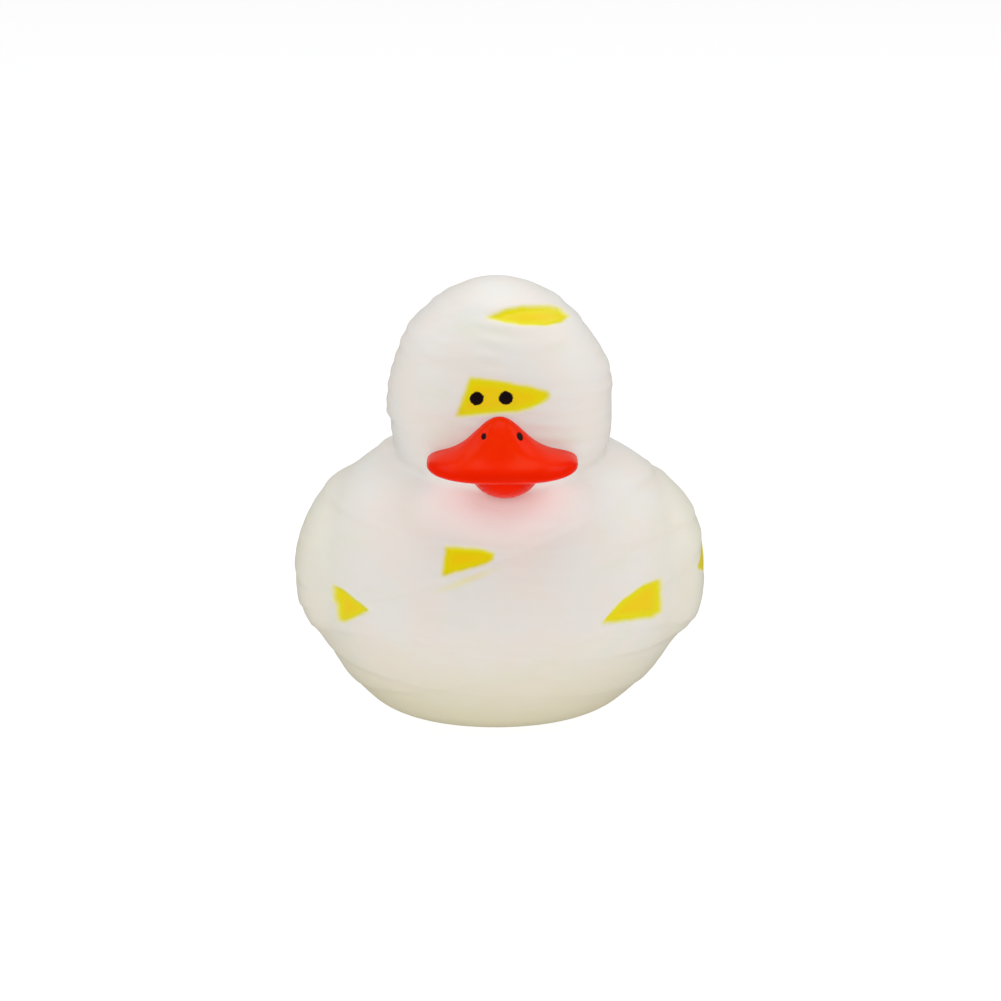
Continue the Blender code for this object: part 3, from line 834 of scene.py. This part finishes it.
def bill_enamel():
    """Orange red enamel sprayed on the vinyl bill: a soft gloss, painted darker and redder low down at the
    lips as painted shade.

    It gives a faint orange peel and an even, strong colour that pools slightly darker in patches.
    """
    made, tree = new_material("orange_red_enamel")
    place = add(tree, "ShaderNodeTexCoord", {}, {})["Object"]
    height = add(tree, "ShaderNodeSeparateXYZ", {}, {"Vector": place})["Z"]
    nostril = add(tree, "ShaderNodeAttribute", {"attribute_name": "nostril_mm"}, {})["Fac"]
    inputs = {"Vector": place, "Scale": 1 / (3 * MM), "Detail": 3.0}
    patches = add(tree, "ShaderNodeTexNoise", {}, inputs)["Fac"]
    inputs = {"Vector": place, "Scale": 1 / (0.9 * MM), "Detail": 3.0}
    orange_peel = add(tree, "ShaderNodeTexNoise", {}, inputs)["Fac"]
    coats = (
        (patches, 0.35, 0.7, 0.0, 1.0, "#EA2B02"),
        # painted shade: darker and redder on the lips below the bill's top
        (height, 0.0320, 0.0331, 0.8, 0.0, "#E71B00"),
        (nostril, -0.04, 0.05, 1.0, 0.0, "#1C0508"),
    )
    relief = {"Height": orange_peel, "Strength": 0.15, "Distance": 0.1 * MM}
    finish = {
        "Base Color": lay_coats(tree, "#EA2500", coats),
        "Roughness": 0.24,
        "IOR": 1.46,
        "Specular IOR Level": 0.02,
        "Coat Weight": 0.03,
        "Coat Roughness": 0.1,
        "Normal": add(tree, "ShaderNodeBump", {}, relief)["Normal"],
    }
    set_finish(tree, finish)
    return made


def squeaker_polythene():
    """Natural white injection-moulded polythene: waxy, slightly see-through, with fine flow marks."""
    made, tree = new_material("moulded_polythene")
    place = add(tree, "ShaderNodeTexCoord", {}, {})["Object"]
    inputs = {"Vector": place, "Scale": 1 / (2 * MM), "Detail": 3.0}
    clouds = add(tree, "ShaderNodeTexNoise", {}, inputs)["Fac"]
    inputs = {"Vector": place, "Scale": 1 / (0.4 * MM), "Detail": 3.0}
    flow_marks = add(tree, "ShaderNodeTexNoise", {}, inputs)["Fac"]
    relief = {"Height": flow_marks, "Strength": 0.1, "Distance": 0.05 * MM}
    finish = {
        "Base Color": lay_coats(tree, "#E2E2DC", ((clouds, 0.3, 0.7, 0.0, 1.0, "#D8D9D2"),)),
        "Roughness": 0.35,
        "IOR": 1.51,
        "Subsurface Weight": 0.1,
        "Subsurface Scale": 1 * MM,
        "Normal": add(tree, "ShaderNodeBump", {}, relief)["Normal"],
    }
    set_finish(tree, finish)
    return made


def make_squeaker():
    """The squeaker's profile, turned about the duck's axis, with a small round at each lip."""
    low = SQUEAKER_INSET
    flange_top = low + SQUEAKER_FLANGE_THICKNESS
    barb = BASE_WALL + SEAT_CLEARANCE
    top = barb + SQUEAKER_BARB_HEIGHT
    face = low + SQUEAKER_FACE_THICKNESS
    lip = SQUEAKER_LIP
    profile = (
        (SQUEAKER_AIR_HOLE_RADIUS, low + lip),
        (SQUEAKER_AIR_HOLE_RADIUS + lip, low),
        (SQUEAKER_FLANGE_RADIUS - lip, low),
        (SQUEAKER_FLANGE_RADIUS, low + lip),
        (SQUEAKER_FLANGE_RADIUS, flange_top - lip),
        (SQUEAKER_FLANGE_RADIUS - lip, flange_top),
        (SQUEAKER_NECK_RADIUS, flange_top),
        (SQUEAKER_NECK_RADIUS, barb),
        (SQUEAKER_BARB_RADIUS, barb),
        (SQUEAKER_NECK_RADIUS, top),
        (SQUEAKER_CHAMBER_RADIUS, top),
        (SQUEAKER_CHAMBER_RADIUS, face),
        (SQUEAKER_AIR_HOLE_RADIUS, face),
        (SQUEAKER_AIR_HOLE_RADIUS, low + lip),
    )
    rings = np.stack([flat_ring(radius, z, SQUEAKER_STEPS_ROUND) for radius, z in profile])
    made = closed_piece("squeaker_insert", rings, (None, None), {})
    weld = made.modifiers.new("weld", "WELD")
    weld.merge_threshold = SQUEAKER_WELD
    made.data.set_sharp_from_angle(angle=SQUEAKER_SHARP_ANGLE)
    return made


def make_stage():
    """A level white floor. The camera sees it mostly as plain white, with the duck's own shadow."""
    bpy.ops.mesh.primitive_plane_add(size=FLOOR_SIZE)
    floor = bpy.context.object
    floor.name = "floor"
    made, tree = new_material("white_paper")
    path = add(tree, "ShaderNodeLightPath", {}, {})
    mirrored = path["Is Glossy Ray"]
    paper = add(tree, "ShaderNodeBsdfDiffuse", {}, {"Color": "#EDEDEB"})["BSDF"]
    inputs = {0: mirrored, 3: FLOOR_GLOW, 4: FLOOR_IN_GLOSS}
    strength = add(tree, "ShaderNodeMapRange", SMOOTH, inputs)["Result"]
    glow = add(tree, "ShaderNodeEmission", {}, {"Strength": strength})["Emission"]
    inputs = {0: path["Is Camera Ray"], 3: FLOOR_GLOW_SHARE_UNSEEN, 4: FLOOR_GLOW_SHARE}
    share = add(tree, "ShaderNodeMapRange", SMOOTH, inputs)["Result"]
    share = add(tree, "ShaderNodeMath", {"operation": "MAXIMUM"}, {0: share, 1: mirrored})["Value"]
    mixed = add(tree, "ShaderNodeMixShader", {}, {0: share, 1: paper, 2: glow})["Shader"]
    add(tree, "ShaderNodeOutputMaterial", {}, {"Surface": mixed})
    floor.data.materials.append(made)


def make_world():
    """Even light from all round like a light tent's, and pale where the camera sees past the floor."""
    world = bpy.data.worlds.new("light_tent")
    world.use_nodes = True
    bpy.context.scene.world = world
    tree = world.node_tree
    tree.nodes.clear()
    path = add(tree, "ShaderNodeLightPath", {}, {})
    inputs = {0: path["Is Camera Ray"], 1: path["Is Transmission Ray"]}
    seen = add(tree, "ShaderNodeMath", {"operation": "MAXIMUM"}, inputs)["Value"]
    unseen = add(tree, "ShaderNodeMath", {"operation": "SUBTRACT"}, {0: 1.0, 1: seen})["Value"]
    inputs = {0: path["Is Glossy Ray"], 3: WORLD_LIGHT, 4: WORLD_IN_GLOSS}
    lit = add(tree, "ShaderNodeMapRange", SMOOTH, inputs)["Result"]
    inputs = {0: unseen, 1: lit, 2: seen}
    strength = add(tree, "ShaderNodeMath", {"operation": "MULTIPLY_ADD"}, inputs)["Value"]
    tent = add(tree, "ShaderNodeBackground", {}, {"Strength": strength})["Background"]
    add(tree, "ShaderNodeOutputWorld", {}, {"Surface": tent})


def make_lamp(name, place, size, watts, colour, in_gloss):
    """A square soft box at a place, turned to face the duck, and mirrored in gloss or not."""
    data = bpy.data.lights.new(name, "AREA")
    data.size = size
    data.energy = watts
    data.color = colour
    lamp = bpy.data.objects.new(name, data)
    lamp.visible_glossy = in_gloss
    bpy.context.scene.collection.objects.link(lamp)
    away = np.array(place) - np.array(LAMP_AIM)
    level = math.hypot(away[0], away[1])
    lamp.location = place
    lamp.rotation_euler = (math.atan2(level, away[2]), 0, math.atan2(away[0], -away[1]))


def make_camera():
    data = bpy.data.cameras.new("camera")
    data.sensor_width = SENSOR_WIDTH
    data.lens = SENSOR_WIDTH * CAMERA_DISTANCE / FRAME_WIDTH_AT_DUCK
    data.clip_start = CAMERA_CLIP_START
    camera = bpy.data.objects.new("camera", data)
    bpy.context.scene.collection.objects.link(camera)
    camera.location = (
        0,
        -CAMERA_DISTANCE * math.cos(VIEW_TILT),
        CAMERA_AIM_Z + CAMERA_DISTANCE * math.sin(VIEW_TILT),
    )
    camera.rotation_euler = (math.pi / 2 - VIEW_TILT, 0, 0)
    bpy.context.scene.camera = camera


def main():
    make_camera()
    skin = make_skin()
    skin.data.materials.append(painted_vinyl())
    enamel = bill_enamel()
    upper, lower = make_bill()
    for half in (upper, lower):
        half.data.materials.append(enamel)
    squeaker = make_squeaker()
    squeaker.data.materials.append(squeaker_polythene())
    for piece in (skin, upper, lower):
        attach(piece, "root")
        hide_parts("duck_body")
    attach(squeaker, "root")
    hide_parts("squeaker")
    make_stage()
    make_world()
    for lamp in LAMPS:
        make_lamp(*lamp)
    bpy.context.scene.view_settings.view_transform = "Standard"


main()
